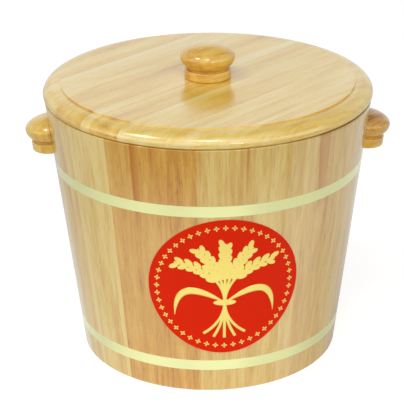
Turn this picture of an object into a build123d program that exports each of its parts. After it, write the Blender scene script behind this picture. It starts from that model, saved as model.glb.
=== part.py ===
from build123d import *
import os
from math import acos, atan, cos, degrees, radians, sin, sqrt

# Lidded stave tub for cooked rice. Millimetres, +Z up, origin on the floor under the tub's centre.
# The front faces -Y and the ears stand out along +X and -X.
# An azimuth is counted in degrees from the front towards +X.

# Tub wall
tub_height = 244.5
tub_top_radius = 149.0
tub_bottom_radius = 120.0
wall_thickness = 14.0
stave_count = 22
stave_joint_azimuth = -5.4
rim_round = 1.2
foot_chamfer = 1.5

# Dowels between the staves, in two rows
dowel_radius = 2.0
dowel_length = 20.0
dowel_fit = 0.1
low_dowel_rise = 60.0
high_dowel_drop = 95.0

# Bottom boards, in a groove round the inside of the staves
bottom_rise = 12.0
bottom_thickness = 12.0
bottom_board_width = 46.0
bottom_joint_offset = 23.0
groove_depth = 5.0
groove_fit = 0.2

# Turned knob, used whole on the lid and cut down for the ears
knob_neck_radius = 18.2
knob_neck_height = 1.0
knob_ball_overhang = 6.8
knob_ball_under = 10.4
knob_ball_over = 10.6
knob_crown_flat = 1.2
knob_collar_overhang = 3.1
knob_collar_height = 8.6
knob_collar_foot_round = 1.6
knob_collar_top_round = 1.0

# Ears
ear_drop = 20.3
ear_axis_depth = 2.3
ear_fit = 0.1

# Hoops, let into the wall and riveted where they overlap at the back
hoop_width = 10.5
hoop_thickness = 0.8
hoop_fit = 0.1
ear_hoop_gap = 2.7
low_hoop_rise = 23.0
hoop_lap = 36.0
rivet_distance = 18.0
rivet_radius = 1.1
rivet_head_radius = 2.3
rivet_head_height = 1.0
rivet_fit = 0.05

# Front label, a film between the hoops
label_azimuth = 4.3
label_rise = 3.0
label_margin = 5.1
label_thickness = 0.3
label_glue = 0.15

# Narrowest board left at the rim of the bottom or the lid
least_board = 20.0

# Lid
lid_overhang = 1.0
lid_thickness = 14.5
lid_rim_width = 16.0
lid_step = 1.6
lid_ledge = 2.0
lid_foot_round = 4.0
lid_grain_angle = 46.5
lid_strips_across = 7.2
lid_joint_share = 0.3

# Battens under the lid
batten_offset_share = 0.37
batten_width = 24.0
batten_height = 13.0
batten_chamfer = 1.5
batten_fit = 1.5
batten_end_margin = 12.0

# Countersunk screws, in the battens and the ears
screw_radius = 1.9
screw_head_radius = 3.6
screw_tip = 4.0
screw_fit = 0.1
screw_slot_width = 0.9
screw_slot_length = 4.0
screw_slot_depth = 1.1
batten_screw_bite = 9.0
ear_screw_bite = 11.0

# Screw and washer that hold the knob
knob_screw_radius = 2.4
knob_screw_head_radius = 4.6
knob_screw_head_height = 2.8
knob_screw_head_round = 1.2
knob_screw_bite = 18.0
washer_radius = 8.0
washer_thickness = 1.2

# Values that follow from the sizes above
wall_slope = (tub_top_radius - tub_bottom_radius) / tub_height
wall_lean = atan(wall_slope)
wall_across = wall_thickness / cos(wall_lean)
stave_angle = 360 / stave_count
lid_radius = tub_top_radius + lid_overhang
lid_strip_width = 2 * lid_radius / lid_strips_across
lid_joint_offset = lid_joint_share * lid_strip_width
batten_offset = batten_offset_share * lid_radius
lid_top = tub_height + lid_thickness
knob_neck_top = knob_collar_height + knob_neck_height
knob_widest_height = knob_neck_top + knob_ball_under
knob_height = knob_widest_height + knob_ball_over
knob_radius = knob_neck_radius + knob_ball_overhang
knob_collar_radius = knob_neck_radius + knob_collar_overhang
ear_base = tub_height - ear_drop - knob_height * cos(wall_lean)
screw_hole_radius = screw_radius + screw_fit
screw_sink_radius = screw_head_radius + screw_fit
knob_hole_radius = knob_screw_radius + screw_fit
high_hoop_rise = ear_base - ear_hoop_gap - hoop_width
hoop_rises = {"upper_hoop": high_hoop_rise, "lower_hoop": low_hoop_rise}
hoop_seat_depth = hoop_thickness + hoop_fit
back_azimuth = 180
ear_azimuths = {"left_ear": -90, "right_ear": 90}
straight_up = Vector(0, 0, 1)
lid_plane = Plane(
    origin=(0, 0, tub_height),
    x_dir=(cos(radians(lid_grain_angle)), sin(radians(lid_grain_angle)), 0),
    z_dir=straight_up,
)


def wall_radius(height):
    """Outer radius of the wall at a height above the floor."""
    return tub_bottom_radius + wall_slope * height


def inner_radius(height):
    """Inner radius of the wall at a height above the floor."""
    return wall_radius(height) - wall_across


def outwards(azimuth):
    """Level direction away from the tub's axis at an azimuth."""
    return Vector(sin(radians(azimuth)), -cos(radians(azimuth)), 0)


def profile_plane(azimuth):
    """Upright plane through the tub's axis: x outwards, y up."""
    return Plane(origin=(0, 0, 0), x_dir=outwards(azimuth), z_dir=outwards(azimuth).cross(straight_up))


def wall_plane(azimuth, height, depth=0):
    """Plane along the wall at a depth under its outer face: x round the tub, y up the wall, z outwards."""
    away = outwards(azimuth)
    up_wall = away * sin(wall_lean) + straight_up * cos(wall_lean)
    normal = away * cos(wall_lean) - straight_up * sin(wall_lean)
    origin = away * wall_radius(height) + straight_up * height - normal * depth
    return Plane(origin=origin, x_dir=up_wall.cross(normal), z_dir=normal)


def wall_band(low, high, inside, outside):
    """Corners of a band along the wall, between two distances out from the wall's face."""
    return [
        (wall_radius(low) + inside, low),
        (wall_radius(low) + outside, low),
        (wall_radius(high) + outside, high),
        (wall_radius(high) + inside, high),
    ]


def hoop_seat(hoop_rise):
    """Corners of the shallow groove that a hoop lies in, from its foot up."""
    return wall_band(hoop_rise - hoop_fit, hoop_rise + hoop_width + hoop_fit, 0, -hoop_seat_depth)


def countersunk_screw(length):
    """Wood screw that points along -Z, with the face of its head on z = 0."""
    with BuildPart() as screw:
        with BuildSketch(Plane.XZ):
            with BuildLine():
                Polyline(
                    (0, 0),
                    (screw_head_radius, 0),
                    (screw_radius, screw_radius - screw_head_radius),
                    (screw_radius, screw_tip - length),
                    (0, -length),
                    close=True,
                )
            make_face()
        revolve(axis=Axis.Z)
        with BuildSketch():
            Rectangle(screw_slot_length, screw_slot_width)
            Rectangle(screw_slot_width, screw_slot_length)
        extrude(amount=-screw_slot_depth, mode=Mode.SUBTRACT)
    return screw.part


def write_piece(piece, name):
    """Label a finished piece and write it to its own file."""
    piece.part.label = name
    export_step(piece.part, f"parts/{name}.step")


def dowel_planes(azimuth):
    """Planes square across a stave joint, in the middle of the wall, one for each row of dowels."""
    planes = []
    for height in (low_dowel_rise, tub_height - high_dowel_drop):
        origin = outwards(azimuth) * (wall_radius(height) - wall_across / 2) + straight_up * height
        planes.append(Plane(origin=origin, x_dir=straight_up, z_dir=straight_up.cross(outwards(azimuth))))
    return planes


def ear_screw_planes(azimuth):
    """Planes on the inner face of the wall behind an ear, facing into the tub."""
    base = wall_plane(azimuth, ear_base, wall_thickness)
    planes = []
    for rise in (knob_collar_height / 2, knob_widest_height):
        planes.append(Plane(origin=base.origin + base.y_dir * rise, x_dir=base.y_dir, z_dir=-base.z_dir))
    return planes


def rivet_planes(hoop_rise):
    """Planes on the wall behind the two rivets of a hoop."""
    height = hoop_rise + hoop_width / 2
    turn = degrees(rivet_distance / 2 / wall_radius(height))
    return [wall_plane(back_azimuth - turn, height), wall_plane(back_azimuth + turn, height)]


def board_edges(radius, width, first_joint):
    """Edges of the boards that a disc is glued up from, across their grain and from rim to rim."""
    edges = [-radius, radius]
    most_joints = int(2 * radius / width)
    for step in range(-most_joints, most_joints + 1):
        joint = first_joint + step * width
        if abs(joint) < radius - least_board:
            edges.append(joint)
    edges.sort()
    return list(zip(edges[:-1], edges[1:]))


os.makedirs("parts", exist_ok=True)
all_ear_screw_planes = [plane for azimuth in ear_azimuths.values() for plane in ear_screw_planes(azimuth)]
ear_screw_length = wall_thickness + ear_screw_bite

# Staves: wedges of the tapered wall, with the groove for the bottom inside and those for the hoops outside
groove_floor = inner_radius(bottom_rise) + groove_depth
groove_top = bottom_rise + bottom_thickness + groove_fit
for index in range(stave_count):
    first_joint = stave_joint_azimuth + index * stave_angle
    with BuildPart() as stave:
        with BuildSketch(profile_plane(first_joint)) as stave_section:
            with BuildLine():
                Polyline(
                    (tub_bottom_radius, 0),
                    *hoop_seat(low_hoop_rise),
                    *hoop_seat(high_hoop_rise),
                    (tub_top_radius, tub_height),
                    (inner_radius(tub_height), tub_height),
                    (inner_radius(groove_top), groove_top),
                    (groove_floor, groove_top),
                    (groove_floor, bottom_rise),
                    (inner_radius(bottom_rise), bottom_rise),
                    (inner_radius(0), 0),
                    close=True,
                )
            make_face()
            fillet(stave_section.vertices().sort_by(Axis.Y)[-2:], rim_round)
            chamfer(stave_section.vertices().sort_by(Axis.Y)[:2], foot_chamfer)
        revolve(axis=Axis.Z, revolution_arc=stave_angle)
        with Locations(*dowel_planes(first_joint), *dowel_planes(first_joint + stave_angle)):
            Cylinder(dowel_radius + dowel_fit, dowel_length + 2 * dowel_fit, mode=Mode.SUBTRACT)
        with Locations(*all_ear_screw_planes):
            CounterSinkHole(screw_hole_radius, screw_sink_radius, ear_screw_length, counter_sink_angle=90)
    write_piece(stave, f"stave_{index + 1:02d}")

# Dowels across the stave joints
with BuildPart() as stave_dowels:
    for index in range(stave_count):
        with Locations(*dowel_planes(stave_joint_azimuth + index * stave_angle)):
            Cylinder(dowel_radius, dowel_length)
write_piece(stave_dowels, "stave_dowels")

# Bottom boards: a disc in the groove, cut into parallel boards
bottom_radius = groove_floor - groove_fit
bottom_boards = board_edges(bottom_radius, bottom_board_width, bottom_joint_offset)
for index, (low_edge, high_edge) in enumerate(bottom_boards):
    with BuildPart() as bottom_board:
        with BuildSketch(Plane.XY.offset(bottom_rise)):
            Circle(bottom_radius)
            with Locations((0, (low_edge + high_edge) / 2)):
                Rectangle(2 * bottom_radius, high_edge - low_edge, mode=Mode.INTERSECT)
        extrude(amount=bottom_thickness)
    write_piece(bottom_board, f"bottom_board_{index + 1}")

# Hoops: bands flush with the wall, lapped at the back and drilled for the rivets
for name, rise in hoop_rises.items():
    top = rise + hoop_width
    lap_turn = degrees(hoop_lap / wall_radius(rise))
    with BuildPart() as hoop:
        with BuildSketch(profile_plane(back_azimuth)):
            with BuildLine():
                Polyline(*wall_band(rise, top, -hoop_thickness, 0), close=True)
            make_face()
        revolve(axis=Axis.Z)
        with BuildSketch(profile_plane(back_azimuth - lap_turn / 2)):
            with BuildLine():
                Polyline(*wall_band(rise, top, -hoop_thickness, hoop_thickness), close=True)
            make_face()
        revolve(axis=Axis.Z, revolution_arc=lap_turn)
        with Locations(*rivet_planes(rise)):
            Cylinder(rivet_radius + rivet_fit, 4 * hoop_thickness, mode=Mode.SUBTRACT)
    write_piece(hoop, name)

# Rivets: shanks through both layers of the lap, with domed heads outside
with BuildPart() as rivet:
    head_top = hoop_thickness + rivet_head_height
    with BuildSketch(Plane.XZ):
        with BuildLine():
            Polyline(
                (0, head_top),
                (0, -hoop_thickness),
                (rivet_radius, -hoop_thickness),
                (rivet_radius, hoop_thickness),
                (rivet_head_radius, hoop_thickness),
            )
            TangentArc((0, head_top), (rivet_head_radius, hoop_thickness), tangent=(1, 0))
        make_face()
    revolve(axis=Axis.Z)
with BuildPart() as hoop_rivets:
    with Locations(*rivet_planes(high_hoop_rise), *rivet_planes(low_hoop_rise)):
        add(rivet.part)
write_piece(hoop_rivets, "hoop_rivets")

# Front label: a round film bent to the wall between the hoops
label_gap_low = low_hoop_rise + hoop_width
label_height = (label_gap_low + high_hoop_rise) / 2 + label_rise
label_radius = (high_hoop_rise - label_gap_low) / 2 - label_margin
label_turn = degrees(label_radius / wall_radius(label_height))
label_half_width = wall_radius(label_height) * sin(radians(label_turn))
with BuildPart() as front_label:
    with BuildSketch(profile_plane(label_azimuth - 1.5 * label_turn)):
        with BuildLine():
            Polyline(
                *wall_band(label_gap_low, high_hoop_rise, label_glue, label_glue + label_thickness),
                close=True,
            )
        make_face()
    revolve(axis=Axis.Z, revolution_arc=3 * label_turn)
    with BuildSketch(wall_plane(label_azimuth, label_height)):
        Ellipse(label_half_width, label_radius)
    extrude(amount=label_radius, both=True, mode=Mode.INTERSECT)
write_piece(front_label, "front_label")

# Half section of the turned knob, with its axis on x = 0 and its base on y = 0
waist = sqrt(1 - (knob_neck_radius / knob_radius) ** 2)
under_height = (knob_widest_height - knob_neck_top) / waist
neck_angle = degrees(atan(waist * knob_radius / knob_neck_radius))
collar_foot = knob_collar_radius - knob_collar_foot_round
collar_edge = knob_collar_radius - knob_collar_top_round
collar_shoulder = knob_collar_height - knob_collar_top_round
crown_angle = degrees(acos(knob_crown_flat / knob_radius))
crown_rise = (knob_height - knob_widest_height) / sin(radians(crown_angle))
with BuildSketch() as knob_section:
    with BuildLine():
        Polyline((knob_crown_flat, knob_height), (0, knob_height), (0, 0), (collar_foot, 0))
        CenterArc((collar_foot, knob_collar_foot_round), knob_collar_foot_round, -90, 90)
        Line((knob_collar_radius, knob_collar_foot_round), (knob_collar_radius, collar_shoulder))
        CenterArc((collar_edge, collar_shoulder), knob_collar_top_round, 0, 90)
        Polyline(
            (collar_edge, knob_collar_height),
            (knob_neck_radius, knob_collar_height),
            (knob_neck_radius, knob_neck_top),
        )
        ball_centre = (0, knob_widest_height)
        EllipticalCenterArc(ball_centre, knob_radius, under_height, -neck_angle, arc_size=neck_angle)
        EllipticalCenterArc(ball_centre, knob_radius, crown_rise, 0, arc_size=crown_angle)
    make_face()

# Ears: the knob cut off just short of its axis, leaning with the wall and hollowed to sit on it
for name, azimuth in ear_azimuths.items():
    seat = wall_plane(azimuth, ear_base)
    ear_origin = seat.origin - seat.z_dir * ear_axis_depth
    with BuildPart() as ear:
        with BuildSketch(Plane(origin=ear_origin, x_dir=seat.z_dir, z_dir=seat.z_dir.cross(seat.y_dir))):
            add(knob_section.sketch)
        revolve(axis=Axis(ear_origin, seat.y_dir))
        with Locations((0, 0, tub_height / 2)):
            Cone(tub_bottom_radius + ear_fit, tub_top_radius + ear_fit, tub_height, mode=Mode.SUBTRACT)
        with Locations(*ear_screw_planes(azimuth)):
            Hole(screw_hole_radius, depth=ear_screw_length + screw_fit)
    write_piece(ear, name)

# Ear screws, from inside the tub
with BuildPart() as ear_screws:
    with Locations(*all_ear_screw_planes):
        add(countersunk_screw(ear_screw_length))
write_piece(ear_screws, "ear_screws")

# Where the screws sit in the underside of the battens: one in the middle of each strip that they cross
lid_strips = board_edges(lid_radius, lid_strip_width, lid_joint_offset)
batten_bottom = tub_height - batten_height
batten_reach = min(inner_radius(tub_height), inner_radius(batten_bottom)) - batten_fit
batten_half_length = sqrt(batten_reach**2 - (batten_offset + batten_width / 2) ** 2)
batten_offsets = {"lid_batten_1": -batten_offset, "lid_batten_2": batten_offset}
screw_reach = batten_half_length - batten_end_margin
batten_screw_planes = []
for along in batten_offsets.values():
    for low_edge, high_edge in lid_strips:
        across = (low_edge + high_edge) / 2
        if abs(across) < screw_reach:
            place = lid_plane.from_local_coords((along, across, -batten_height))
            batten_screw_planes.append(Plane(origin=place, x_dir=lid_plane.x_dir, z_dir=-straight_up))
batten_screw_length = batten_height + batten_screw_bite

# Lid strips: a turned disc with a raised field and a rounded rim, cut along the grain
field_radius = lid_radius - lid_rim_width
rim_reach = lid_rim_width - lid_ledge
rim_top = lid_top - lid_step
rim_height = lid_thickness - lid_step - lid_foot_round
for index, (low_edge, high_edge) in enumerate(lid_strips):
    with BuildPart() as lid_strip:
        with BuildSketch(Plane.XZ):
            with BuildLine():
                Polyline(
                    (field_radius + lid_ledge, rim_top),
                    (field_radius, rim_top),
                    (field_radius, lid_top),
                    (0, lid_top),
                    (0, tub_height),
                    (lid_radius - lid_foot_round, tub_height),
                )
                CenterArc((lid_radius - lid_foot_round, tub_height + lid_foot_round), lid_foot_round, -90, 90)
                EllipticalCenterArc(
                    (lid_radius - rim_reach, rim_top - rim_height), rim_reach, rim_height, 0, arc_size=90
                )
            make_face()
        revolve(axis=Axis.Z)
        with BuildSketch(lid_plane):
            with Locations((0, (low_edge + high_edge) / 2)):
                Rectangle(2 * lid_radius, high_edge - low_edge)
        extrude(amount=lid_thickness, mode=Mode.INTERSECT)
        with Locations(*batten_screw_planes):
            Hole(screw_hole_radius, depth=batten_screw_length + screw_fit)
        with Locations(lid_plane):
            Hole(knob_hole_radius, depth=2 * lid_thickness)
    write_piece(lid_strip, f"lid_strip_{index + 1}")

# Battens across the underside of the lid, shaped to the mouth of the tub
for name, along in batten_offsets.items():
    with BuildPart() as lid_batten:
        with BuildSketch(lid_plane):
            Circle(batten_reach)
            with Locations((along, 0)):
                Rectangle(batten_width, 2 * batten_reach, mode=Mode.INTERSECT)
        extrude(amount=-batten_height)
        chamfer(lid_batten.faces().sort_by(Axis.Z)[0].edges(), batten_chamfer)
        with Locations(*batten_screw_planes):
            CounterSinkHole(screw_hole_radius, screw_sink_radius, batten_screw_length, counter_sink_angle=90)
    write_piece(lid_batten, name)

# Batten screws
with BuildPart() as batten_screws:
    with Locations(*batten_screw_planes):
        add(countersunk_screw(batten_screw_length))
write_piece(batten_screws, "batten_screws")

# Lid knob, with the pilot hole for its screw
with BuildPart() as lid_knob:
    with BuildSketch(Plane(origin=(0, 0, lid_top), x_dir=(1, 0, 0), z_dir=(0, -1, 0))):
        add(knob_section.sketch)
    revolve(axis=Axis.Z)
    with Locations((0, 0, lid_top)):
        Hole(knob_hole_radius, depth=knob_screw_bite + screw_fit)
write_piece(lid_knob, "lid_knob")

# Washer under the lid
washer_bottom = tub_height - washer_thickness
with BuildPart() as knob_washer:
    with BuildSketch(Plane.XY.offset(washer_bottom)):
        Circle(washer_radius)
        Circle(knob_hole_radius, mode=Mode.SUBTRACT)
    extrude(amount=washer_thickness)
write_piece(knob_washer, "knob_washer")

# Knob screw, up through the washer and the lid
knob_screw_top = lid_top + knob_screw_bite
head_bottom = washer_bottom - knob_screw_head_height
with BuildPart() as knob_screw:
    with BuildSketch(Plane.XZ):
        with BuildLine():
            Polyline(
                (knob_screw_head_radius - knob_screw_head_round, head_bottom),
                (0, head_bottom),
                (0, knob_screw_top),
                (knob_screw_radius, knob_screw_top - screw_tip),
                (knob_screw_radius, washer_bottom),
                (knob_screw_head_radius, washer_bottom),
                (knob_screw_head_radius, head_bottom + knob_screw_head_round),
            )
            CenterArc(
                (knob_screw_head_radius - knob_screw_head_round, head_bottom + knob_screw_head_round),
                knob_screw_head_round,
                -90,
                90,
            )
        make_face()
    revolve(axis=Axis.Z)
    with BuildSketch(Plane.XY.offset(head_bottom)):
        Rectangle(screw_slot_length, screw_slot_width)
        Rectangle(screw_slot_width, screw_slot_length)
    extrude(amount=screw_slot_depth, mode=Mode.SUBTRACT)
write_piece(knob_screw, "knob_screw")
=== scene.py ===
from math import asin, atan, cos, pi, radians, sin

import bpy
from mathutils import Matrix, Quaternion, Vector


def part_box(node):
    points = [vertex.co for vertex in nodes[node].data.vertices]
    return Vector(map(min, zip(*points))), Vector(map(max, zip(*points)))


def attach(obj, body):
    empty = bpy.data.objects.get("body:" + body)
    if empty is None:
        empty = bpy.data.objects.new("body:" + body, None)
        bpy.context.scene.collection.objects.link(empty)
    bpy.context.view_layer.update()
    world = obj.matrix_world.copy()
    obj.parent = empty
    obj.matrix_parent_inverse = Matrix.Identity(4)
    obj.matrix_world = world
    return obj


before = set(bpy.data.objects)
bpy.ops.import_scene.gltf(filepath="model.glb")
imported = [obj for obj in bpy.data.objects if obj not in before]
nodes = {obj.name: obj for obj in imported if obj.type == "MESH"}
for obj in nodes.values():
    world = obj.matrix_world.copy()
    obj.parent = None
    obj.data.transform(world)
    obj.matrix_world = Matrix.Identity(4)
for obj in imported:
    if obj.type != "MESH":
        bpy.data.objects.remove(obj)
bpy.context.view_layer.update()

# Lidded stave tub for cooked rice: lacquered staves in two brushed hoops, a glued-up lid with a turned
# knob, two half-knob ears and a round red label with a gold rice sheaf.
# Metres, +Z up. The front faces -Y, and an azimuth is counted from the front towards +X.

mm = 0.001

# Places read from the frame
stave_names = sorted(name for name in nodes if name.startswith("stave_") and name != "stave_dowels")
strip_names = sorted(name for name in nodes if name.startswith("lid_strip_"))
board_names = sorted(name for name in nodes if name.startswith("bottom_board_"))
first_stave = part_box("stave_01")
upper_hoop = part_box("upper_hoop")
lower_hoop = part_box("lower_hoop")
label_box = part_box("front_label")
tub_height = first_stave[1].z
tub_middle = Vector((0, 0, tub_height / 2))
tub_top_radius = -first_stave[0].y
wall_slope = (lower_hoop[0].y - upper_hoop[0].y) / (upper_hoop[1].z - lower_hoop[1].z)
wall_lean = atan(wall_slope)
tub_foot_radius = tub_top_radius - wall_slope * tub_height
stave_turn = 2 * pi / len(stave_names)
stave_width = stave_turn * (tub_top_radius + tub_foot_radius) / 2
first_joint = asin(first_stave[0].x / tub_top_radius)
lid_radius = max(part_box(name)[1].x for name in strip_names)

# Boards of the lid, the bottom and the knob
lid_grain_angle = radians(46.5)
lid_strips_across = 7.2
lid_strip_width = 2 * lid_radius / lid_strips_across
lid_joint_offset = 0.3 * lid_strip_width
bottom_board_width = 46 * mm
bottom_joint_offset = 23 * mm
knob_grain_angle = radians(40)

# Front label
label_azimuth = radians(4.3)
label_height = (label_box[0].z + label_box[1].z) / 2
label_wall_radius = tub_foot_radius + wall_slope * label_height
label_surface = 0.6 * mm
foil_thickness = 0.2 * mm

# Camera, as the photograph was taken: distance and angles from the middle of the tub
camera_distance = 1513.6 * mm
camera_azimuth = radians(-1.6)
camera_elevation = radians(23.63)
camera_roll = radians(-0.498)
camera_lens = 142.9
camera_sensor = 36
camera_aim_right = -6.25 * mm
camera_aim_up = 11.36 * mm


def linear(hex_colour):
    """Linear colour of an sRGB hex value such as D9BE86."""
    channels = [int(hex_colour[i : i + 2], 16) / 255 for i in (0, 2, 4)]
    return (*[c / 12.92 if c <= 0.04045 else ((c + 0.055) / 1.055) ** 2.4 for c in channels], 1)


def add(tree, kind, inputs=(), **settings):
    """Add a node. Settings are its properties. Inputs go by name or in order, and each is a value, a node, a
    socket or a list of nodes to join."""
    node = tree.nodes.new(kind)
    for name, value in settings.items():
        setattr(node, name, value)
    for key, value in inputs.items() if isinstance(inputs, dict) else enumerate(inputs):
        for item in value if isinstance(value, list) else [value]:
            if isinstance(item, bpy.types.Node):
                item = item.outputs[0]
            if isinstance(item, bpy.types.NodeSocket):
                tree.links.new(item, node.inputs[key])
            else:
                node.inputs[key].default_value = item
    return node


def axis_distance(tree, place):
    """Distance of a place from the upright axis of the tub."""
    level = add(tree, "ShaderNodeVectorMath", (place, (1, 1, 0)), operation="MULTIPLY")
    return add(tree, "ShaderNodeVectorMath", {0: level}, operation="LENGTH").outputs["Value"]


def new_material(name):
    """Empty node material, and its tree."""
    material = bpy.data.materials.new(name)
    material.use_nodes = True
    material.node_tree.nodes.clear()
    return material, material.node_tree


def end_material(tree, sockets):
    """End a material in one shader with these sockets."""
    shader = add(tree, "ShaderNodeBsdfPrincipled", sockets)
    add(tree, "ShaderNodeOutputMaterial", {"Surface": shader})


# Grain: where a point lies across, into and along its board, which board that is, and how far across it


def stave_grain(tree):
    """Grain that runs up the staves. The place across a stave is counted round the tub."""
    place = add(tree, "ShaderNodeTexCoord").outputs["Object"]
    at = add(tree, "ShaderNodeSeparateXYZ", {"Vector": place}).outputs
    ahead = add(tree, "ShaderNodeMath", (at["Y"], -1), operation="MULTIPLY")
    azimuth = add(tree, "ShaderNodeMath", (at["X"], ahead), operation="ARCTAN2")
    from_joint = add(tree, "ShaderNodeMath", (azimuth, first_joint), operation="SUBTRACT")
    staves = add(tree, "ShaderNodeMath", (from_joint, stave_turn), operation="DIVIDE")
    stave = add(tree, "ShaderNodeMath", {0: staves}, operation="FLOOR")
    board = add(tree, "ShaderNodeMath", (stave, len(stave_names)), operation="FLOORED_MODULO")
    share = add(tree, "ShaderNodeMath", {0: staves}, operation="FRACT")
    across = add(tree, "ShaderNodeMath", (share, stave_width), operation="MULTIPLY")
    off_axis = axis_distance(tree, place)
    depth = add(tree, "ShaderNodeMath", (at["Z"], -wall_slope, off_axis), operation="MULTIPLY_ADD")
    into = add(tree, "ShaderNodeMath", (depth, tub_foot_radius), operation="SUBTRACT")
    return add(tree, "ShaderNodeCombineXYZ", (across, into, at["Z"])), board, share


def plank_grain(tree, angle, width, joint):
    """Grain that runs level at an angle from +X, in boards of a width with one joint at an offset."""
    turn = {"Vector": add(tree, "ShaderNodeTexCoord").outputs["Object"], "Angle": -angle}
    turned = add(tree, "ShaderNodeVectorRotate", turn, rotation_type="Z_AXIS")
    at = add(tree, "ShaderNodeSeparateXYZ", {"Vector": turned}).outputs
    from_joint = add(tree, "ShaderNodeMath", (at["Y"], joint), operation="SUBTRACT")
    boards = add(tree, "ShaderNodeMath", (from_joint, width), operation="DIVIDE")
    board = add(tree, "ShaderNodeMath", {0: boards}, operation="FLOOR")
    share = add(tree, "ShaderNodeMath", {0: boards}, operation="FRACT")
    across = add(tree, "ShaderNodeMath", (share, width), operation="MULTIPLY")
    return add(tree, "ShaderNodeCombineXYZ", (across, at["Z"], at["X"])), board, share


def lid_grain(tree):
    """Grain of the lid's strips."""
    return plank_grain(tree, lid_grain_angle, lid_strip_width, lid_joint_offset)


def batten_grain(tree):
    """Grain of the battens, square across the strips."""
    return plank_grain(tree, lid_grain_angle + pi / 2, lid_radius, 0)


def bottom_grain(tree):
    """Grain of the bottom boards, from side to side."""
    return plank_grain(tree, 0, bottom_board_width, bottom_joint_offset)


def knob_grain(tree):
    """Grain of the block that the knob was turned from. The ears, out to the sides, have other blocks."""
    return plank_grain(tree, knob_grain_angle, lid_radius, -lid_radius / 2)


# Woods. Noise sizes are in millimetres across, into and along the board. A range of a noise, of a place or
# of a board's own chance says where its effect starts and where it is full.

wander_size = (60, 60, 160)
heart_size = (11, 30, 220)
streak_range = (0.45, 0.75)
pore_range = (0.5, 0.72)
fleck_range = (0.45, 0.95)
faint_heart_range = (0.56, 0.7)
blush_range = (0.6, 0.0)

# Growth rings round a pith: their spacing, how far they wander, and where the pith lies and how it runs
ring_spacing = 5 * mm
ring_wander = 16 * mm
pith_aside = (-25 * mm, 60 * mm)
pith_under = (20 * mm, 90 * mm)
pith_askew = (-0.12, 0.12)

# Tone from 0, pale, to 1, brown: its middle, and what each layer moves it by
middle_tone = 0.4
cloud_tone = 1.3
streak_tone = 0.36
streak_rest = -0.09
pore_tone = 0.3
pore_rest = -0.06
end_grain_middle = 0.45

# Sapwood: its range across a board, and the share of boards without it
sapwood_range = (0.84, 0.88)
no_sapwood = 0.62

# Bands of red heart: half the width of the crisp edge, where its soft side starts past that edge, and the
# heights over which a band runs out and leans over
heart_edge = 0.02
heart_body = 0.04
heart_run = 40 * mm
heart_lean_run = 80 * mm

# Painted shade in the joint under the lid, where the lid's edge shades the rim: how far in from the rim it
# lies, its range and that of the thinned lacquer, which dulls reflections towards the joint, the range of
# its right side, and its share on the left
joint_shade_depth = 2 * mm
joint_shade_range = (1.3 * mm, 0.5 * mm)
joint_dulling_range = (3 * mm, 1 * mm)
joint_shade_right = (50 * mm, 120 * mm)
joint_shade_left_share = 0.1

blush_colour = "E8CFAE"
heart_colour = "B86612"
# Colour of the painted shade in the joint under the lid
joint_shade_colour = "5A3200"

# Sheen of the wood itself, bare and under lacquer
bare_sheen = 0.5
coated_sheen = 0.1


def board_noise(tree, cut, size):
    """Noise of a size, from 0 to 1."""
    per_metre = tuple(1 / (length * mm) for length in size)
    stretched = add(tree, "ShaderNodeVectorMath", (cut, per_metre), operation="MULTIPLY")
    inputs = {"Vector": stretched, "Scale": 1.0, "Detail": 3.0, "Roughness": 0.6}
    return add(tree, "ShaderNodeTexNoise", inputs).outputs["Fac"]


def growth_rings(tree, at, own, wander):
    """Growth rings round a pith that lies beside and under the board, and runs askew to it."""
    askew = add(tree, "ShaderNodeMapRange", (own["Z"], 0, 1, *pith_askew))
    aside = add(tree, "ShaderNodeMapRange", (own["X"], 0, 1, *pith_aside))
    under = add(tree, "ShaderNodeMapRange", (own["Y"], 0, 1, *pith_under))
    drift = add(tree, "ShaderNodeMath", (at["Z"], askew, at["X"]), operation="MULTIPLY_ADD")
    from_pith = add(tree, "ShaderNodeMath", (drift, aside), operation="SUBTRACT")
    over_pith = add(tree, "ShaderNodeMath", (at["Y"], under), operation="ADD")
    to_pith = add(tree, "ShaderNodeCombineXYZ", (from_pith, over_pith))
    radius = add(tree, "ShaderNodeVectorMath", {0: to_pith}, operation="LENGTH").outputs["Value"]
    waved = add(tree, "ShaderNodeMath", (wander, ring_wander, radius), operation="MULTIPLY_ADD")
    ring = add(tree, "ShaderNodeMath", (waved, ring_spacing / 2), operation="PINGPONG")
    return add(tree, "ShaderNodeMapRange", (ring, 0, ring_spacing / 2), interpolation_type="SMOOTHSTEP")


def shade_of(tree, tone, shades):
    """Colour of a tone, with the shades spread evenly from 0 to 1."""
    ramp = add(tree, "ShaderNodeValToRGB", {0: tone})
    stops = ramp.color_ramp.elements
    while len(stops) < len(shades):
        stops.new(0.5)
    for number, shade in enumerate(shades):
        stops[number].position = number / (len(shades) - 1)
        stops[number].color = linear(shade)
    return ramp.outputs[0]


def on_board(tree, board, number):
    """1 on the board with a number, 0 on the others."""
    return add(tree, "ShaderNodeMath", (board, number, 0.5), operation="COMPARE")


def red_heart(tree, at, board, share, faint, hearts):
    """Red heart: faint here and there, and in a few boards a band with a crisp edge that runs out along
    the board."""
    red = faint
    for number, start, lean, end, run_out, strength in hearts:
        leaning = add(tree, "ShaderNodeMapRange", (at["Z"], run_out, run_out + heart_lean_run, lean, 0))
        past = add(tree, "ShaderNodeMath", (share, leaning), operation="SUBTRACT")
        crisp = add(tree, "ShaderNodeMapRange", (past, start - heart_edge, start + heart_edge, 0, strength))
        soft = add(tree, "ShaderNodeMapRange", (share, start + heart_body, end, 1, 0))
        run = add(tree, "ShaderNodeMapRange", (at["Z"], run_out, run_out + heart_run))
        body = add(tree, "ShaderNodeMath", (crisp, soft), operation="MULTIPLY")
        band = add(tree, "ShaderNodeMath", (body, run), operation="MULTIPLY")
        band_here = add(tree, "ShaderNodeMath", (band, on_board(tree, board, number)), operation="MULTIPLY")
        red = add(tree, "ShaderNodeMath", (red, band_here), operation="MAXIMUM")
    return red


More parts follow.
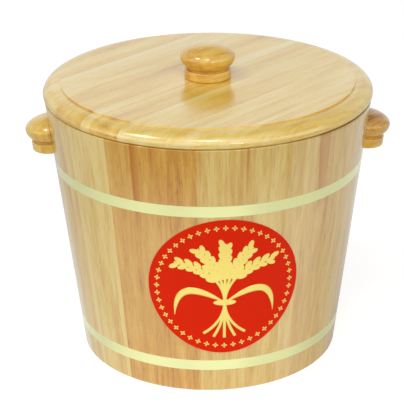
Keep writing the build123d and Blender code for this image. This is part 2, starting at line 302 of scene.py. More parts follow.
def painted_joint_shade(tree, joint_shade):
    """Painted shade in the joint under the lid, darker on the right, which the lamps light less, and lacquer
    thinned there so that the painted shade takes fewer reflections."""
    place = add(tree, "ShaderNodeTexCoord").outputs["Object"]
    at = add(tree, "ShaderNodeSeparateXYZ", {"Vector": place}).outputs
    above = add(tree, "ShaderNodeMath", (at["Z"], tub_height), operation="SUBTRACT")
    height_off = add(tree, "ShaderNodeMath", {0: above}, operation="ABSOLUTE")
    off_axis = axis_distance(tree, place)
    inward = add(tree, "ShaderNodeMath", (tub_top_radius - joint_shade_depth, off_axis), operation="SUBTRACT")
    off_joint = add(tree, "ShaderNodeMath", (height_off, inward), operation="MAXIMUM")
    at_joint = add(tree, "ShaderNodeMapRange", (off_joint, *joint_shade_range, 0, joint_shade))
    on_right = add(tree, "ShaderNodeMapRange", (at["X"], *joint_shade_right, joint_shade_left_share, 1))
    joint_dulling = add(tree, "ShaderNodeMapRange", (off_joint, *joint_dulling_range, 0, joint_shade))
    return add(tree, "ShaderNodeMath", (at_joint, on_right), operation="MULTIPLY"), joint_dulling


def wood(
    name,
    grain,
    along,
    shades,
    seed,
    cloud_size=(11, 20, 180),
    streak_size=(1.8, 4, 32),
    pore_size=(1.1, 1.1, 9),
    lot_tone=0.3,
    end_tone=0.4,
    ring_tone=0.12,
    figure=1.0,
    fleck=0.0,
    pale_side=0.25,
    faint_heart=0.35,
    hearts=(),
    odd_boards=(),
    blush=0.0,
    joint_shade=0.0,
    coat=1.0,
    coat_ior=1.6,
    coat_blur=0.05,
):
    """Rubberwood: straw-coloured and straight-grained, with soft growth rings, cloudy bands, fine darker
    streaks and short pores, which are drawn three times too wide, so that they show. Shades run from its
    palest sapwood to its brown heart, and each board has its own tone. Clear lacquer gives sharp, nearly
    colourless reflections over the softer sheen of the wood.

    The tones and pale_side say how far chance, end grain, rings and sapwood move a board through its
    shades. Figure scales the streaks and pores, and fleck gives some boards stronger pores."""
    material, tree = new_material(name)
    place, board, share = grain(tree)
    at = add(tree, "ShaderNodeSeparateXYZ", {"Vector": place}).outputs
    lot = add(tree, "ShaderNodeMath", (board, seed), operation="ADD")
    chance = add(tree, "ShaderNodeTexWhiteNoise", {"W": lot}, noise_dimensions="1D")
    own = add(tree, "ShaderNodeSeparateXYZ", {"Vector": chance.outputs["Color"]}).outputs
    cut = add(tree, "ShaderNodeVectorMath", (place, chance.outputs["Color"]), operation="ADD")

    # End grain has a tone of its own, and neither streaks nor pores
    normal = add(tree, "ShaderNodeNewGeometry").outputs["Normal"]
    endwise = add(tree, "ShaderNodeVectorMath", (normal, along), operation="DOT_PRODUCT").outputs["Value"]
    end_grain = add(tree, "ShaderNodeMath", (endwise, 2), operation="POWER")
    side_grain = add(tree, "ShaderNodeMath", (1, end_grain), operation="SUBTRACT")
    end_step = add(tree, "ShaderNodeMath", (own["Z"], end_grain_middle), operation="SUBTRACT")
    own_end = add(tree, "ShaderNodeMath", (end_grain, end_step), operation="MULTIPLY")
    streak = add(tree, "ShaderNodeMapRange", (board_noise(tree, cut, streak_size), *streak_range))
    pore = add(tree, "ShaderNodeMapRange", (board_noise(tree, cut, pore_size), *pore_range))
    own_fleck = add(tree, "ShaderNodeMapRange", (own["Z"], *fleck_range, 1, 1 + fleck))
    own_pore = add(tree, "ShaderNodeMath", (pore, own_fleck), operation="MULTIPLY")
    sapwood = add(tree, "ShaderNodeMapRange", (share, *sapwood_range))
    has_sapwood = add(tree, "ShaderNodeMath", (own["Y"], no_sapwood), operation="GREATER_THAN")
    own_sapwood = add(tree, "ShaderNodeMath", (sapwood, has_sapwood), operation="MULTIPLY")
    side_streak = add(tree, "ShaderNodeMath", (streak, side_grain), operation="MULTIPLY")
    side_pore = add(tree, "ShaderNodeMath", (own_pore, side_grain), operation="MULTIPLY")

    # Layers of the tone: each has its weight, and what it adds where it is nothing
    layers = [
        (chance.outputs["Value"], lot_tone, -lot_tone / 2),
        (board_noise(tree, cut, cloud_size), cloud_tone, -cloud_tone / 2),
        (growth_rings(tree, at, own, board_noise(tree, cut, wander_size)), ring_tone, -ring_tone / 2),
        (side_streak, streak_tone * figure, streak_rest * figure),
        (side_pore, pore_tone * figure, pore_rest * figure),
        (own_end, end_tone, 0),
        (own_sapwood, -pale_side, 0),
    ]
    for number, start, end, tone in odd_boards:
        inside = add(
            tree, "ShaderNodeMath", (share, (start + end) / 2, (end - start) / 2), operation="COMPARE"
        )
        here = on_board(tree, board, number)
        layers.append((add(tree, "ShaderNodeMath", (here, inside), operation="MULTIPLY"), tone, 0))
    total = middle_tone
    for layer, weight, rest in layers:
        moved = add(tree, "ShaderNodeMath", (layer, weight, rest), operation="MULTIPLY_ADD")
        total = add(tree, "ShaderNodeMath", (moved, total), operation="ADD")

    # Some boards are paler and pinker all over
    own_blush = add(tree, "ShaderNodeMapRange", (own["Y"], *blush_range, 0, blush))
    colour = add(
        tree,
        "ShaderNodeMix",
        {0: own_blush, 6: shade_of(tree, total, shades), 7: linear(blush_colour)},
        data_type="RGBA",
    ).outputs[2]
    faint = add(
        tree, "ShaderNodeMapRange", (board_noise(tree, cut, heart_size), *faint_heart_range, 0, faint_heart)
    )
    red = red_heart(tree, at, board, share, faint, hearts)
    colour = add(
        tree, "ShaderNodeMix", {0: red, 6: colour, 7: linear(heart_colour)}, data_type="RGBA"
    ).outputs[2]
    # Painted shade in the joint under the lid, and the lacquer thinned there to dull its reflections
    joint_shade_mask, joint_dulling = painted_joint_shade(tree, joint_shade)
    sockets = {
        "Base Color": add(
            tree, "ShaderNodeMix", {0: joint_shade_mask, 6: colour, 7: linear(joint_shade_colour)}, data_type="RGBA"
        ).outputs[2],
        "Roughness": 0.5,
        "IOR": 1.5,
        "Specular IOR Level": bare_sheen + (coated_sheen - bare_sheen) * coat,
        "Coat Weight": add(tree, "ShaderNodeMath", (coat, joint_dulling), operation="SUBTRACT"),
        "Coat Roughness": coat_blur,
        "Coat IOR": coat_ior,
    }
    end_material(tree, sockets)
    return material


upright = (0, 0, 1)
lid_along = (cos(lid_grain_angle), sin(lid_grain_angle), 0)
batten_along = (-sin(lid_grain_angle), cos(lid_grain_angle), 0)
bottom_along = (1, 0, 0)
knob_along = (cos(knob_grain_angle), sin(knob_grain_angle), 0)
pale_shades = ("E6CB7C", "DAB65C", "CC9C46", "9C642A")
tan_shades = ("E0BA60", "D6A244", "C48834", "8E5220")
lid_shades = ("ECD48E", "E6C45C", "DAAC42", "B07C2E")
bare_shades = ("E6D4A8", "DCC48E", "CCAA70", "A8804C")
turned_shades = ("EAC860", "E2B648", "CE9230", "8C5618")
# Bands of red heart: number of the stave from 0, share of its width where the band starts at the rim, how
# far that start leans over on the way down, share where the band ends, its lowest height and its strength
stave_hearts = (
    (20, 0.6, 0.0, 0.82, 150 * mm, 0.8),
    (2, 0.68, 0.22, 1.7, 150 * mm, 0.6),
    (1, 0.0, 0.0, 0.08, 200 * mm, 0.6),
)
# Boards and stripes that are browner or paler than chance made them: number of the board from 0, shares of
# its width where that starts and ends, and step of tone
odd_staves = ((17, 0, 1, 0.08), (18, 0, 1, -0.1), (19, 0, 1, -0.2), (2, 0, 1, -0.06))
odd_strips = ((-1, 0.74, 1, -0.4),)
# The staves take painted shade in the joint under the lid
stave_look = {"figure": 0.9, "hearts": stave_hearts, "joint_shade": 0.6, "coat_ior": 1.8}
pale_look = {"odd_boards": odd_staves, "blush": 0.26, **stave_look}
lid_look = {
    "cloud_size": (12, 20, 210),
    "streak_size": (1.4, 4, 80),
    "pore_size": (1.6, 1.6, 6),
    "end_tone": 0.8,
    "ring_tone": 0.2,
    "figure": 0.7,
    "fleck": 0.4,
    "pale_side": 0.1,
    "faint_heart": 0.0,
    "odd_boards": odd_strips,
    # painted shade in the joint under the lid
    "joint_shade": 0.9,
    "coat_ior": 1.8,
    "coat_blur": 0.18,
}
turned_look = {"lot_tone": 0.55, "figure": 0.9}

# Staves: glossy lacquer over pale and over tan boards
pale_staves = wood("lacquered_rubberwood_pale", stave_grain, upright, pale_shades, 205, **pale_look)
tan_staves = wood("lacquered_rubberwood_tan", stave_grain, upright, tan_shades, 146, **stave_look)
# Lid: paler and yellower, long streaks, and a lacquer that is slightly rubbed down
lid_wood = wood("lacquered_rubberwood_lid", lid_grain, lid_along, lid_shades, 326, **lid_look)
# Bottom and battens: sanded and bare
bottom_wood = wood("bare_rubberwood_bottom", bottom_grain, bottom_along, bare_shades, 8, coat=0.0)
batten_wood = wood("bare_rubberwood_battens", batten_grain, batten_along, bare_shades, 9, coat=0.0)
# Knob and ears: turned from blocks that differ more in tone, under the same lacquer
knob_wood = wood("lacquered_rubberwood_turned", knob_grain, knob_along, turned_shades, 275, **turned_look)


# Metals, film and bamboo


def brushed_hoop_metal():
    """Anodised aluminium, champagne gold, brushed along the band: the scratches spread a reflection
    up and down the band but hardly along it. The lacquer of the wall runs over it."""
    material, tree = new_material("brushed_champagne_aluminium")
    # The sheared edges of the band, which face up, are dull
    edge_facing = (0.5, 0.9)
    normal = add(tree, "ShaderNodeNewGeometry").outputs["Normal"]
    facing = add(tree, "ShaderNodeSeparateXYZ", {"Vector": normal}).outputs
    bright = add(tree, "ShaderNodeMapRange", (facing["Z"], *edge_facing, 1, 0))
    place = add(tree, "ShaderNodeTexCoord").outputs["Object"]
    sockets = {
        "Base Color": linear("F5F6B6"),
        "Metallic": bright,
        "Roughness": 0.62,
        "Anisotropic": 0.95,
        "Anisotropic Rotation": 0.25,
        "Tangent": add(tree, "ShaderNodeVectorMath", (place, upright), operation="CROSS_PRODUCT"),
        "Coat Weight": 1.0,
        "Coat IOR": 1.6,
        "Coat Roughness": 0.1,
    }
    end_material(tree, sockets)
    return material


def plain_material(name, colour, finish):
    """Material with one colour and the same finish all over, given by sockets."""
    material, tree = new_material(name)
    end_material(tree, {"Base Color": linear(colour), **finish})
    return material


hoop_metal = brushed_hoop_metal()
# Printed PVC film: even, strong red with a soft gloss
label_film = plain_material("red_pvc_film", "DE2400", {"Roughness": 0.2, "IOR": 1.15})
# Hot-stamped gold foil: a smooth pale gold mirror, softened by the film under it
label_foil = plain_material("stamped_gold_foil", "F2DC78", {"Metallic": 1.0, "Roughness": 0.32})
# Zinc-plated steel: bluish white, bright but not polished
screw_steel = plain_material("zinc_plated_steel", "C8CBCE", {"Metallic": 1.0, "Roughness": 0.3})
# Bamboo dowels: straw-coloured, dull
bamboo = plain_material("bare_bamboo", "D6BB7C", {"Roughness": 0.6, "IOR": 1.5})

# Finish of each node. Five of the staves are tan.
tan_names = {"stave_21", "stave_22", "stave_09", "stave_13", "stave_16"}
finishes = {
    pale_staves: [name for name in stave_names if name not in tan_names],
    tan_staves: sorted(tan_names),
    bamboo: ["stave_dowels"],
    bottom_wood: board_names,
    hoop_metal: ["upper_hoop", "lower_hoop", "hoop_rivets"],
    label_film: ["front_label"],
    knob_wood: ["lid_knob", "left_ear", "right_ear"],
    lid_wood: strip_names,
    batten_wood: ["lid_batten_1", "lid_batten_2"],
    screw_steel: ["ear_screws", "batten_screws", "knob_washer", "knob_screw"],
}
for material, names in finishes.items():
    for name in names:
        nodes[name].data.materials[0] = material


# Label print, laid out flat (x round the tub, y up the wall, z outwards) and then wrapped to the wall


def new_tree(name, sizes):
    """Geometry node tree with a named input for each size, and its group input."""
    tree = bpy.data.node_groups.new(name, "GeometryNodeTree")
    for size, value in sizes.items():
        kind = "NodeSocketInt" if isinstance(value, int) else "NodeSocketFloat"
        tree.interface.new_socket(size, in_out="INPUT", socket_type=kind)
    tree.interface.new_socket("Geometry", in_out="OUTPUT", socket_type="NodeSocketGeometry")
    return tree, add(tree, "NodeGroupInput").outputs


def wrap_to_wall(tree, size, flat):
    """Bend a flat layout round the tapered wall, with its middle on the middle of the label."""
    at = add(tree, "ShaderNodeSeparateXYZ", {"Vector": add(tree, "GeometryNodeInputPosition")}).outputs
    lean_sin = add(tree, "ShaderNodeMath", {0: size["Wall lean"]}, operation="SINE")
    lean_cos = add(tree, "ShaderNodeMath", {0: size["Wall lean"]}, operation="COSINE")
    radius = add(tree, "ShaderNodeMath", (at["Y"], lean_sin, size["Wall radius"]), operation="MULTIPLY_ADD")
    turn = add(tree, "ShaderNodeMath", (at["X"], radius), operation="DIVIDE")
    azimuth = add(tree, "ShaderNodeMath", (turn, size["Azimuth"]), operation="ADD")
    stand = add(tree, "ShaderNodeMath", (at["Z"], size["Surface"]), operation="ADD")
    out = add(tree, "ShaderNodeMath", (stand, lean_cos, radius), operation="MULTIPLY_ADD")
    rise = add(tree, "ShaderNodeMath", (at["Y"], lean_cos, size["Height"]), operation="MULTIPLY_ADD")
    sink = add(tree, "ShaderNodeMath", (stand, lean_sin), operation="MULTIPLY")
    level = add(tree, "ShaderNodeMath", (rise, sink), operation="SUBTRACT")
    azimuth_sin = add(tree, "ShaderNodeMath", {0: azimuth}, operation="SINE")
    side = add(tree, "ShaderNodeMath", (out, azimuth_sin), operation="MULTIPLY")
    azimuth_cos = add(tree, "ShaderNodeMath", {0: azimuth}, operation="COSINE")
    ahead = add(tree, "ShaderNodeMath", (out, azimuth_cos), operation="MULTIPLY")
    back = add(tree, "ShaderNodeMath", (ahead, -1), operation="MULTIPLY")
    place = add(tree, "ShaderNodeCombineXYZ", (side, back, level))
    return add(tree, "GeometryNodeSetPosition", {"Geometry": flat, "Position": place})


def finish_tree(tree, flat, size, material):
    """Realise, wrap and paint a layout, and end the tree."""
    real = add(tree, "GeometryNodeRealizeInstances", {"Geometry": flat})
    wrapped = wrap_to_wall(tree, size, real)
    painted = add(tree, "GeometryNodeSetMaterial", {"Geometry": wrapped, "Material": material})
    add(tree, "NodeGroupOutput", {"Geometry": painted})


def piece_from_tree(name, tree, sizes, body):
    """Plain mesh piece made by a tree with these sizes, riding on a body."""
    maker = bpy.data.objects.new(name + "_maker", bpy.data.meshes.new(name + "_maker"))
    bpy.context.scene.collection.objects.link(maker)
    modifier = maker.modifiers.new("shape", "NODES")
    modifier.node_group = tree
    for item in tree.interface.items_tree:
        if item.in_out == "INPUT":
            modifier[item.identifier] = sizes[item.name]
    graph = bpy.context.evaluated_depsgraph_get()
    mesh = bpy.data.meshes.new_from_object(maker.evaluated_get(graph))
    mesh.name = name
    bpy.data.objects.remove(maker)
    piece = bpy.data.objects.new(name, mesh)
    bpy.context.scene.collection.objects.link(piece)
    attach(piece, body)


def ring_of(tree, count, radius, piece, scale=(1, 1, 1)):
    """Copies of a piece round a circle, each turned outwards."""
    step = add(tree, "ShaderNodeMath", (2 * pi, count), operation="DIVIDE")
    turn = add(tree, "ShaderNodeMath", (add(tree, "GeometryNodeInputIndex"), step), operation="MULTIPLY")
    points = add(tree, "GeometryNodeMeshCircle", {"Vertices": count, "Radius": radius})
    inputs = {
        "Points": points,
        "Instance": piece,
        "Rotation": add(tree, "ShaderNodeCombineXYZ", {"Z": turn}),
        "Scale": scale,
    }
    return add(tree, "GeometryNodeInstanceOnPoints", inputs)


def pressed_tube(tree, curves, width, foil, swell=1.0):
    """Tubes of a width along curves, pressed flat to the thickness of the foil."""
    radius = add(tree, "ShaderNodeMath", (width, 0.5), operation="MULTIPLY")
    section = add(tree, "GeometryNodeCurvePrimitiveCircle", {"Resolution": tube_corners, "Radius": radius})
    inputs = {"Curve": curves, "Profile Curve": section, "Scale": swell, "Fill Caps": True}
    tubes = add(tree, "GeometryNodeCurveToMesh", inputs)
    flatness = add(tree, "ShaderNodeMath", (foil, width), operation="DIVIDE")
    pressed = add(tree, "ShaderNodeCombineXYZ", (1, 1, flatness))
    return add(tree, "GeometryNodeTransform", {"Geometry": tubes, "Scale": pressed})


# Inputs of the trees. Shares are of an ear's length.
wall_sizes = {
    "Azimuth": label_azimuth,
    "Height": label_height,
    "Wall radius": label_wall_radius,
    "Wall lean": wall_lean,
    "Surface": label_surface,
}
blossom_sizes = {
    "Blossoms": 48,
    "Ring radius": 60.5 * mm,
    "Petals": 4,
    "Petal reach": 1.45 * mm,
    "Petal length": 2.3 * mm,
    "Petal width": 1.5 * mm,
    "Foil": foil_thickness,
    **wall_sizes,
}
sheaf_sizes = {
    "Ears": 5,
    "Grains": 11,
    "Ear length": 60 * mm,
    "Ear spread": radians(24),
    "First grain": 0.46,
    "Grain side": 3 * mm,
    "Grain splay": radians(27),
    "Grain length": 9.4 * mm,
    "Grain width": 4.8 * mm,
    "Stem bottom": -0.62,
    "Stem width": 2.8 * mm,
    "Tie height": -15 * mm,
    "Tie width": 20 * mm,
    "Tie depth": 6 * mm,
    "Leaf reach": 44 * mm,
    "Leaf rise": 30 * mm,
    "Leaf droop": 14 * mm,
    "Leaf width": 7 * mm,
    "Leaf point": 0.05,
    "Foil": foil_thickness,
    **wall_sizes,
}
# Discs, which are scaled later, corners of the discs and of the tubes, and points along a curve
disc_size = {"Radius": 0.5, "Depth": 1.0}
petal_corners = 8
grain_corners = 12
tie_corners = 24
tube_corners = 8
curve_points = 24


def blossom_ring():
    """Ring of small four-petalled blossoms near the edge of the label."""
    tree, size = new_tree("blossom_ring", blossom_sizes)
    petal_scale = add(
        tree, "ShaderNodeCombineXYZ", (size["Petal length"], size["Petal width"], size["Foil"])
    )
    round_petal = {"Vertices": petal_corners, **disc_size}
    petal = add(tree, "GeometryNodeMeshCylinder", round_petal, fill_type="TRIANGLE_FAN")
    blossom = ring_of(tree, size["Petals"], size["Petal reach"], petal, petal_scale)
    ring = ring_of(tree, size["Blossoms"], size["Ring radius"], blossom)
    finish_tree(tree, ring, size, label_foil)
    piece_from_tree("label_blossom_ring", tree, blossom_sizes, "tub")


def along_ear(tree, size, ear, share):
    """Point at a share of an ear's length above the tie, and the bend there."""
    gaps = add(tree, "ShaderNodeMath", (size["Ears"], 1), operation="SUBTRACT")
    middle = add(tree, "ShaderNodeMath", (gaps, 0.5), operation="MULTIPLY")
    from_middle = add(tree, "ShaderNodeMath", (ear, middle), operation="SUBTRACT")
    lean = add(tree, "ShaderNodeMath", (from_middle, size["Ear spread"]), operation="MULTIPLY")
    bend = add(tree, "ShaderNodeMath", (lean, share), operation="MULTIPLY")
    reach = add(tree, "ShaderNodeMath", (share, size["Ear length"]), operation="MULTIPLY")
    bend_sin = add(tree, "ShaderNodeMath", {0: bend}, operation="SINE")
    x = add(tree, "ShaderNodeMath", (reach, bend_sin), operation="MULTIPLY")
    bend_cos = add(tree, "ShaderNodeMath", {0: bend}, operation="COSINE")
    y = add(tree, "ShaderNodeMath", (reach, bend_cos, size["Tie height"]), operation="MULTIPLY_ADD")
    return add(tree, "ShaderNodeCombineXYZ", (x, y)), bend


def sheaf_grains(tree, size):
    """Grains, one point each, counted ear by ear and from side to side."""
    index = add(tree, "GeometryNodeInputIndex")
    ears = add(tree, "ShaderNodeMath", (index, size["Grains"]), operation="DIVIDE")
    ear = add(tree, "ShaderNodeMath", {0: ears}, operation="FLOOR")
    count = add(tree, "ShaderNodeMath", (index, size["Grains"]), operation="MODULO")
    last = add(tree, "ShaderNodeMath", (size["Grains"], 1), operation="SUBTRACT")
    share = add(tree, "ShaderNodeMapRange", (count, 0, last, size["First grain"], 1))
    odd = add(tree, "ShaderNodeMath", (count, 2), operation="MODULO")
    hand = add(tree, "ShaderNodeMath", (odd, 2, -1), operation="MULTIPLY_ADD")
    stem_point, bend = along_ear(tree, size, ear, share)
    added_bend = add(tree, "ShaderNodeMath", {0: bend}, operation="ARCTANGENT")
    heading = add(tree, "ShaderNodeMath", (bend, added_bend), operation="ADD")
    turn = add(tree, "ShaderNodeMath", (hand, size["Grain splay"], heading), operation="MULTIPLY_ADD")
    beside = add(tree, "ShaderNodeMath", (hand, size["Grain side"]), operation="MULTIPLY")
    offset = add(tree, "ShaderNodeCombineXYZ", {"X": beside})
    clockwise = add(tree, "ShaderNodeMath", (heading, -1), operation="MULTIPLY")
    heading_turn = {"Vector": offset, "Angle": clockwise}
    aside = add(tree, "ShaderNodeVectorRotate", heading_turn, rotation_type="Z_AXIS")
    place = add(tree, "ShaderNodeVectorMath", (stem_point, aside), operation="ADD")
    all_grains = add(tree, "ShaderNodeMath", (size["Ears"], size["Grains"]), operation="MULTIPLY")
    grain_turn = add(tree, "ShaderNodeMath", (turn, -1), operation="MULTIPLY")
    round_grain = {"Vertices": grain_corners, **disc_size}
    inputs = {
        "Points": add(tree, "GeometryNodePoints", {"Count": all_grains, "Position": place}),
        "Instance": add(tree, "GeometryNodeMeshCylinder", round_grain, fill_type="TRIANGLE_FAN"),
        "Rotation": add(tree, "ShaderNodeCombineXYZ", {"Z": grain_turn}),
        "Scale": add(
            tree, "ShaderNodeCombineXYZ", (size["Grain width"], size["Grain length"], size["Foil"])
        ),
    }
    return add(tree, "GeometryNodeInstanceOnPoints", inputs)


def sheaf_stems(tree, size):
    """Stems, one line for each ear, bent with it."""
    straight = {"Curve": add(tree, "GeometryNodeCurvePrimitiveLine"), "Count": curve_points}
    line = add(tree, "GeometryNodeResampleCurve", straight)
    numbered = add(
        tree,
        "GeometryNodeStoreNamedAttribute",
        {
            "Geometry": add(tree, "GeometryNodePoints", {"Count": size["Ears"]}),
            "Name": "ear",
            "Value": add(tree, "GeometryNodeInputIndex"),
        },
        data_type="FLOAT",
        domain="POINT",
    )
    lines = add(tree, "GeometryNodeInstanceOnPoints", {"Points": numbered, "Instance": line})
    real_lines = add(tree, "GeometryNodeRealizeInstances", {"Geometry": lines})
    own_ear = add(tree, "GeometryNodeInputNamedAttribute", {"Name": "ear"}, data_type="FLOAT")
    along = add(tree, "GeometryNodeSplineParameter").outputs["Factor"]
    share = add(tree, "ShaderNodeMapRange", (along, 0, 1, size["Stem bottom"], 1))
    place = along_ear(tree, size, own_ear, share)[0]
    bent = add(tree, "GeometryNodeSetPosition", {"Geometry": real_lines, "Position": place})
    return pressed_tube(tree, bent, size["Stem width"], size["Foil"])


def sheaf_tie(tree, size):
    """Tie round the stems."""
    round_tie = {"Vertices": tie_corners, **disc_size}
    inputs = {
        "Geometry": add(tree, "GeometryNodeMeshCylinder", round_tie, fill_type="TRIANGLE_FAN"),
        "Translation": add(tree, "ShaderNodeCombineXYZ", {"Y": size["Tie height"]}),
        "Scale": add(tree, "ShaderNodeCombineXYZ", (size["Tie width"], size["Tie depth"], size["Foil"])),
    }
    return add(tree, "GeometryNodeTransform", inputs)


def sheaf_leaves(tree, size):
    """A drooping leaf on each side, pointed at both ends."""
    top = add(tree, "ShaderNodeMath", (size["Tie height"], size["Leaf rise"]), operation="ADD")
    tip = add(tree, "ShaderNodeMath", (size["Tie height"], size["Leaf droop"]), operation="SUBTRACT")
    bows = []
    for side in (-1, 1):
        reach = add(tree, "ShaderNodeMath", (size["Leaf reach"], side), operation="MULTIPLY")
        inputs = {
            "Resolution": curve_points,
            "Start": add(tree, "ShaderNodeCombineXYZ", {"Y": size["Tie height"]}),
            "Middle": add(tree, "ShaderNodeCombineXYZ", (reach, top)),
            "End": add(tree, "ShaderNodeCombineXYZ", (reach, tip)),
        }
        bows.append(add(tree, "GeometryNodeCurveQuadraticBezier", inputs))
    along = add(tree, "GeometryNodeSplineParameter").outputs["Factor"]
    half_turn = add(tree, "ShaderNodeMath", (along, pi), operation="MULTIPLY")
    swell = add(tree, "ShaderNodeMath", {0: half_turn}, operation="SINE")
    pointed = add(tree, "ShaderNodeMath", (swell, size["Leaf point"]), operation="MAXIMUM")
    leaves = add(tree, "GeometryNodeJoinGeometry", {"Geometry": bows})
    return pressed_tube(tree, leaves, size["Leaf width"], size["Foil"], pointed)


def rice_sheaf():
    """Sheaf of rice ears in the middle of the label: grains to both sides of bending stems, a tie and
    two leaves."""
    tree, size = new_tree("rice_sheaf", sheaf_sizes)
    parts = [shape(tree, size) for shape in (sheaf_grains, sheaf_stems, sheaf_tie, sheaf_leaves)]
    finish_tree(tree, add(tree, "GeometryNodeJoinGeometry", {"Geometry": parts}), size, label_foil)
    piece_from_tree("label_rice_sheaf", tree, sheaf_sizes, "tub")


blossom_ring()
rice_sheaf()


# Studio: a white floor and white surroundings, with lamps in front, at the sides, behind and overhead

# Floor: half its size, and its glow as reflections see it. In front of the tub is a pool of light, with its
# range and its glow outside and inside. Beside and behind the tub the glow goes from near to far, one way
# on the left and another on the right. Distances are from the middle of the tub.
floor_half = 3.0
pool_range = (0.5, 0.3)
pool_glow = (0.1, 1.18)
aside_range = (0.12, 0.38)
left_glow = (0.82, 0.62)
right_glow = (0.45, 0.75)
left_to_right = (-0.1, 0.1)
front_to_back = (-0.3, -0.05)

# The light that the pool throws on the tub, from back to front, and the glow that the camera sees
bounce_front = (0.05, -0.12)
bounce_glow = 0.47
seen_glow = 0.77

# Paper of the floor: its white unseen and seen, and what reflections take off it
paper_white = (0.5, 0.45)
mirrored_paper = -0.4

# Surroundings: a dim ceiling in reflections, by its range upwards and to the back of a unit direction, its
# glow, and the strength of the light from all round
ceiling_height = (0.42, 0.66)
ceiling_back = (-0.2, 0.2)
ceiling_glow = 0.3
fill_strength = 0.31

# Lamps: place, power, width and depth
lamps = {
    "front_lamp": ((0.1, -2.1, 1.35), 26.5, 5.5, 1.6),
    "left_lamp": ((-2.1, -0.7, 0.9), 7, 1.7, 1.0),
    "right_lamp": ((2.0, -0.8, 0.9), 4.5, 1.2, 1.2),
    "overhead_bank": ((-0.22, -1.24, 2.05), 4.5, 2.6, 0.5),
    "back_panel": ((-0.1, 2.4, 1.1), 0.8, 1.6, 0.8),
    "high_left_lamp": ((-1.01, -0.41, 1.96), 6.5, 0.45, 0.45),
    "high_front_lamp": ((-0.04, -1.0, 2.01), 4.5, 0.38, 0.38),
    "low_right_lamp": ((0.63, -1.84, 0.76), 1.5, 0.15, 0.3),
}


def floor_glow(tree, path):
    """Glow of the floor, for the camera, for reflections and for the light that it throws on the tub."""
    place = add(tree, "ShaderNodeTexCoord").outputs["Object"]
    at = add(tree, "ShaderNodeSeparateXYZ", {"Vector": place}).outputs
    reach = add(tree, "ShaderNodeVectorMath", {0: place}, operation="LENGTH").outputs["Value"]
    pool = add(
        tree, "ShaderNodeMapRange", (reach, *pool_range, *pool_glow), interpolation_type="SMOOTHSTEP"
    )
    left = add(tree, "ShaderNodeMapRange", (reach, *aside_range, *left_glow))
    right = add(tree, "ShaderNodeMapRange", (reach, *aside_range, *right_glow))
    side = add(tree, "ShaderNodeMapRange", (at["X"], *left_to_right))
    aside = add(tree, "ShaderNodeMix", {"Factor": side, 2: left, 3: right})
    back = add(tree, "ShaderNodeMapRange", (at["Y"], *front_to_back))
    lit = add(tree, "ShaderNodeMix", {"Factor": back, 2: pool, 3: aside})
    mirrored = add(tree, "ShaderNodeMath", (path["Is Glossy Ray"], lit), operation="MULTIPLY")
    in_front = add(tree, "ShaderNodeMapRange", (at["Y"], *bounce_front))
    front_pool = add(tree, "ShaderNodeMath", (in_front, pool), operation="MULTIPLY")
    bounced = add(tree, "ShaderNodeMath", (path["Is Diffuse Ray"], bounce_glow), operation="MULTIPLY")
    unseen = add(tree, "ShaderNodeMath", (bounced, front_pool, mirrored), operation="MULTIPLY_ADD")
    return add(tree, "ShaderNodeMath", (path["Is Camera Ray"], seen_glow, unseen), operation="MULTIPLY_ADD")


def white_floor():
    """White paper floor that keeps a faint shadow."""
    corners = [(x * floor_half, y * floor_half, 0) for x, y in ((-1, -1), (1, -1), (1, 1), (-1, 1))]
    mesh = bpy.data.meshes.new("floor")
    mesh.from_pydata(corners, [], [(0, 1, 2, 3)])
    floor = bpy.data.objects.new("floor", mesh)
    bpy.context.scene.collection.objects.link(floor)
    material, tree = new_material("white_floor")
    path = add(tree, "ShaderNodeLightPath").outputs
    light = add(tree, "ShaderNodeEmission", {"Color": (1, 1, 1, 1), "Strength": floor_glow(tree, path)})
    white = add(tree, "ShaderNodeMapRange", (path["Is Camera Ray"], 0, 1, *paper_white))
    paper = add(
        tree, "ShaderNodeMath", (path["Is Glossy Ray"], mirrored_paper, white), operation="MULTIPLY_ADD"
    )
    matt = add(tree, "ShaderNodeBsdfDiffuse", {"Color": paper})
    both = add(tree, "ShaderNodeAddShader", {0: light, 1: matt})
    add(tree, "ShaderNodeOutputMaterial", {"Surface": both})
    material.cycles.emission_sampling = "NONE"
    mesh.materials.append(material)


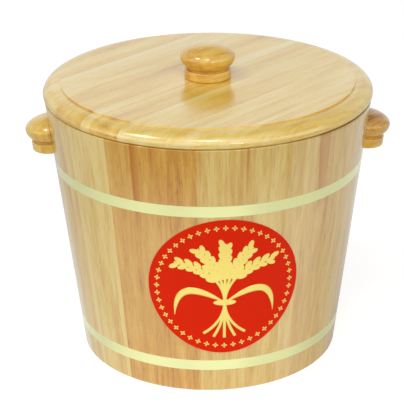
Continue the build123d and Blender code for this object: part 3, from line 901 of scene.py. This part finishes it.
def white_surroundings():
    """White all round where the camera sees it, dimmer as light, and with a dim ceiling in reflections."""
    world = bpy.data.worlds.new("white_studio")
    bpy.context.scene.world = world
    world.use_nodes = True
    tree = world.node_tree
    tree.nodes.clear()
    path = add(tree, "ShaderNodeLightPath").outputs
    direction = add(tree, "ShaderNodeTexCoord").outputs["Generated"]
    way = add(tree, "ShaderNodeSeparateXYZ", {"Vector": direction}).outputs
    high = add(tree, "ShaderNodeMapRange", (way["Z"], *ceiling_height))
    behind = add(tree, "ShaderNodeMapRange", (way["Y"], *ceiling_back))
    ceiling = add(tree, "ShaderNodeMath", (high, behind), operation="MULTIPLY")
    lit = add(tree, "ShaderNodeMapRange", (ceiling, 0, 1, 1, ceiling_glow))
    mirrored = add(tree, "ShaderNodeMath", (path["Is Glossy Ray"], lit), operation="MULTIPLY")
    shown = add(tree, "ShaderNodeMath", (path["Is Camera Ray"], mirrored), operation="MAXIMUM")
    strength = add(tree, "ShaderNodeMapRange", (shown, 0, 1, fill_strength, 1))
    light = add(tree, "ShaderNodeBackground", {"Color": (1, 1, 1, 1), "Strength": strength})
    add(tree, "ShaderNodeOutputWorld", {"Surface": light})


def lamp(name, place, power, width, depth):
    """Rectangular lamp that faces the middle of the tub."""
    data = bpy.data.lights.new(name, "AREA")
    data.shape = "RECTANGLE"
    data.size = width
    data.size_y = depth
    data.energy = power
    holder = bpy.data.objects.new(name, data)
    holder.location = place
    holder.rotation_euler = (tub_middle - Vector(place)).to_track_quat("-Z", "Y").to_euler()
    bpy.context.scene.collection.objects.link(holder)


def camera():
    """Camera at the photograph's distance and angles, aimed beside the middle of the tub as it was."""
    back = Vector(
        (
            sin(camera_azimuth) * cos(camera_elevation),
            -cos(camera_azimuth) * cos(camera_elevation),
            sin(camera_elevation),
        )
    )
    right = Vector((0, 0, 1)).cross(back).normalized()
    up = back.cross(right)
    place = tub_middle + back * camera_distance
    aim = tub_middle + right * camera_aim_right + up * camera_aim_up
    data = bpy.data.cameras.new("camera")
    data.lens = camera_lens
    data.sensor_width = camera_sensor
    data.dof.use_dof = False
    eye = bpy.data.objects.new("camera", data)
    eye.location = place
    eye.rotation_mode = "QUATERNION"
    eye.rotation_quaternion = (aim - place).to_track_quat("-Z", "Y") @ Quaternion((0, 0, 1), camera_roll)
    bpy.context.scene.collection.objects.link(eye)
    bpy.context.scene.camera = eye


white_floor()
white_surroundings()
for name, settings in lamps.items():
    lamp(name, *settings)
camera()
bpy.context.scene.view_settings.view_transform = "Standard"
